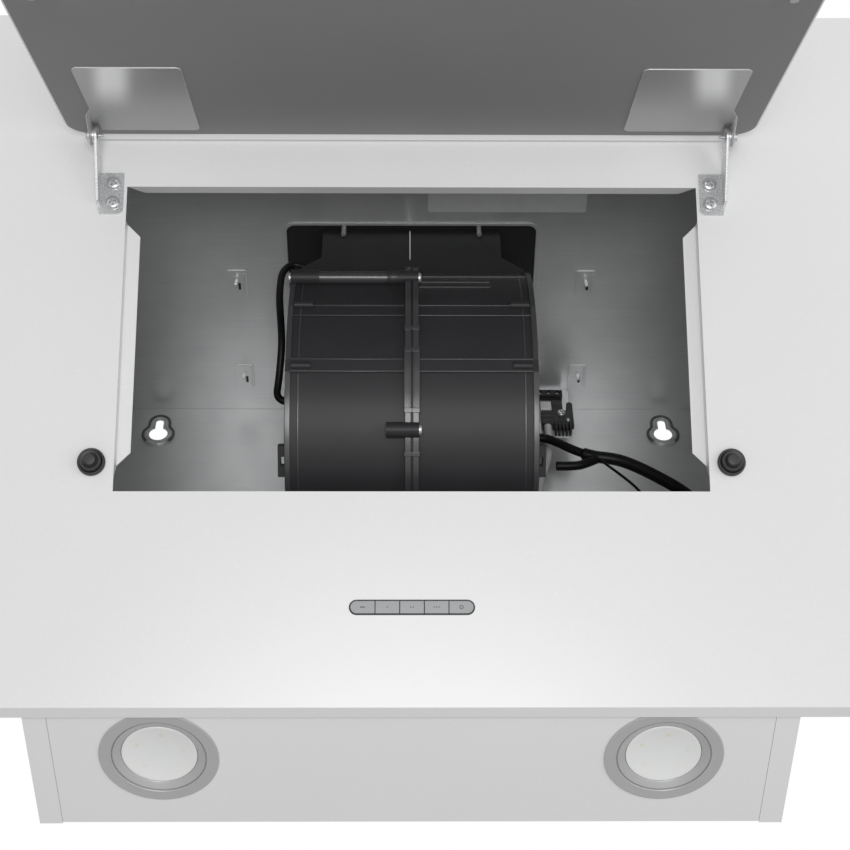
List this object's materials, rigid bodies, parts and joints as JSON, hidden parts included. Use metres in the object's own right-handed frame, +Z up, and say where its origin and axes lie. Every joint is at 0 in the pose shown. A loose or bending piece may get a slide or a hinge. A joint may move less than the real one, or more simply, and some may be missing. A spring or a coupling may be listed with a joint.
{
  "type": "range hood",
  "caption": "Slanted wall-mounted kitchen range hood with a swing-up front flap, push buttons, round lamps and a centrifugal blower, its grease filter taken out.",
  "frame": {"origin": "on the wall plane at the back panel's outer face, midway between the two keyholes", "axes": "+X to the viewer's right along the hood's width, +Y into the wall, +Z up"},
  "size_m": [0.598, 0.5221, 0.4435],
  "materials": {
    "white_enamel": "gloss",
    "galvanised_steel": "satin",
    "dark_enamel": "satin",
    "stainless_steel": "brushed",
    "satin_zinc": "satin",
    "black_rubber": "matte",
    "silver_plastic": "satin",
    "dark_trim": "satin",
    "black_plastic": "satin",
    "board_laminate": "satin",
    "white_board": "satin",
    "satin_nickel": "satin",
    "frosted_lens": "frosted",
    "bare_foil": "satin",
    "motor_alloy": "satin",
    "turned_steel": "polished",
    "sheet_steel": "satin",
    "grey_plastic": "satin",
    "white_plastic": "satin",
    "white_cable": "satin",
    "black_cable": "satin"
  },
  "bodies": {
    "housing": {"front_panel": "white_enamel", "side_panel_left": "white_enamel", "side_panel_right": "white_enamel", "lamp_plate": "white_enamel", "back_panel": "galvanised_steel", "top_plate": "galvanised_steel", "ceiling_hooks": "galvanised_steel", "terminal_bracket": "galvanised_steel", "hinge_bracket_left": "satin_zinc", "hinge_bracket_right": "satin_zinc", "bracket_screws": "satin_zinc", "hinge_pins": "satin_zinc", "hinge_washers": "satin_zinc", "scroll_screws": "satin_zinc", "outlet_screws": "satin_zinc", "clamp_screws": "satin_zinc", "damper_pin": "satin_zinc", "catch_left": "black_rubber", "catch_right": "black_rubber", "cable_grommet": "black_rubber", "switch_bezel": "dark_trim", "switch_box": "black_plastic", "lamp_housing_left": "black_plastic", "lamp_housing_right": "black_plastic", "scroll_left": "black_plastic", "scroll_right": "black_plastic", "inlet_grille": "black_plastic", "outlet_collar": "black_plastic", "terminal_box": "black_plastic", "switch_board": "board_laminate", "lamp_board_left": "white_board", "lamp_board_right": "white_board", "lamp_ring_left": "satin_nickel", "lamp_ring_right": "satin_nickel", "lamp_lens_left": "frosted_lens", "lamp_lens_right": "frosted_lens", "rating_plate": "bare_foil", "motor": "motor_alloy", "motor_bracket": "sheet_steel", "cable_clamp": "grey_plastic", "cable_connector": "white_plastic", "supply_cable": "white_cable", "control_cable": "black_cable", "lamp_wire": "black_cable", "motor_lead": "black_cable"},
    "flap": {"flap_panel": "white_enamel", "flap_lining": "dark_enamel", "hinge_plate_left": "stainless_steel", "hinge_plate_right": "stainless_steel", "catch_studs": "stainless_steel"},
    "fan": {"motor_shaft": "turned_steel", "impeller": "black_plastic"},
    "front_damper": {"damper_front": "black_plastic"},
    "rear_damper": {"damper_rear": "black_plastic"},
    "off_button": {"button_off": "silver_plastic"},
    "low_button": {"button_low": "silver_plastic"},
    "medium_button": {"button_medium": "silver_plastic"},
    "high_button": {"button_high": "silver_plastic"},
    "lamp_button": {"button_lamp": "silver_plastic"}
  },
  "joints": [
    {"name": "flap_hinge", "type": "hinge", "parent": "housing", "child": "flap", "pos_m": [0, -0.31475, -0.05905], "axis": [1, 0, 0], "range_deg": [-10, 86.5]},
    {"name": "fan_spin", "type": "hinge", "parent": "housing", "child": "fan", "pos_m": [0, -0.117, -0.122], "axis": [1, 0, 0], "continuous": true},
    {"name": "front_damper_hinge", "type": "hinge", "parent": "housing", "child": "front_damper", "pos_m": [0, -0.099, 0.044], "axis": [-1, 0, 0], "range_deg": [0, 78]},
    {"name": "rear_damper_hinge", "type": "hinge", "parent": "housing", "child": "rear_damper", "pos_m": [0, -0.099, 0.044], "axis": [1, 0, 0], "range_deg": [0, 78]},
    {"name": "off_button_press", "type": "slide", "parent": "housing", "child": "off_button", "axis": [0, 0.8425, 0.5388], "range_m": [0, 0.002], "stiffness_N_per_m": 400, "springref_m": -0.003},
    {"name": "low_button_press", "type": "slide", "parent": "housing", "child": "low_button", "axis": [0, 0.8425, 0.5388], "range_m": [0, 0.002], "stiffness_N_per_m": 400, "springref_m": -0.003},
    {"name": "medium_button_press", "type": "slide", "parent": "housing", "child": "medium_button", "axis": [0, 0.8425, 0.5388], "range_m": [0, 0.002], "stiffness_N_per_m": 400, "springref_m": -0.003},
    {"name": "high_button_press", "type": "slide", "parent": "housing", "child": "high_button", "axis": [0, 0.8425, 0.5388], "range_m": [0, 0.002], "stiffness_N_per_m": 400, "springref_m": -0.003},
    {"name": "lamp_button_press", "type": "slide", "parent": "housing", "child": "lamp_button", "axis": [0, 0.8425, 0.5388], "range_m": [0, 0.002], "stiffness_N_per_m": 400, "springref_m": -0.003}
  ]
}
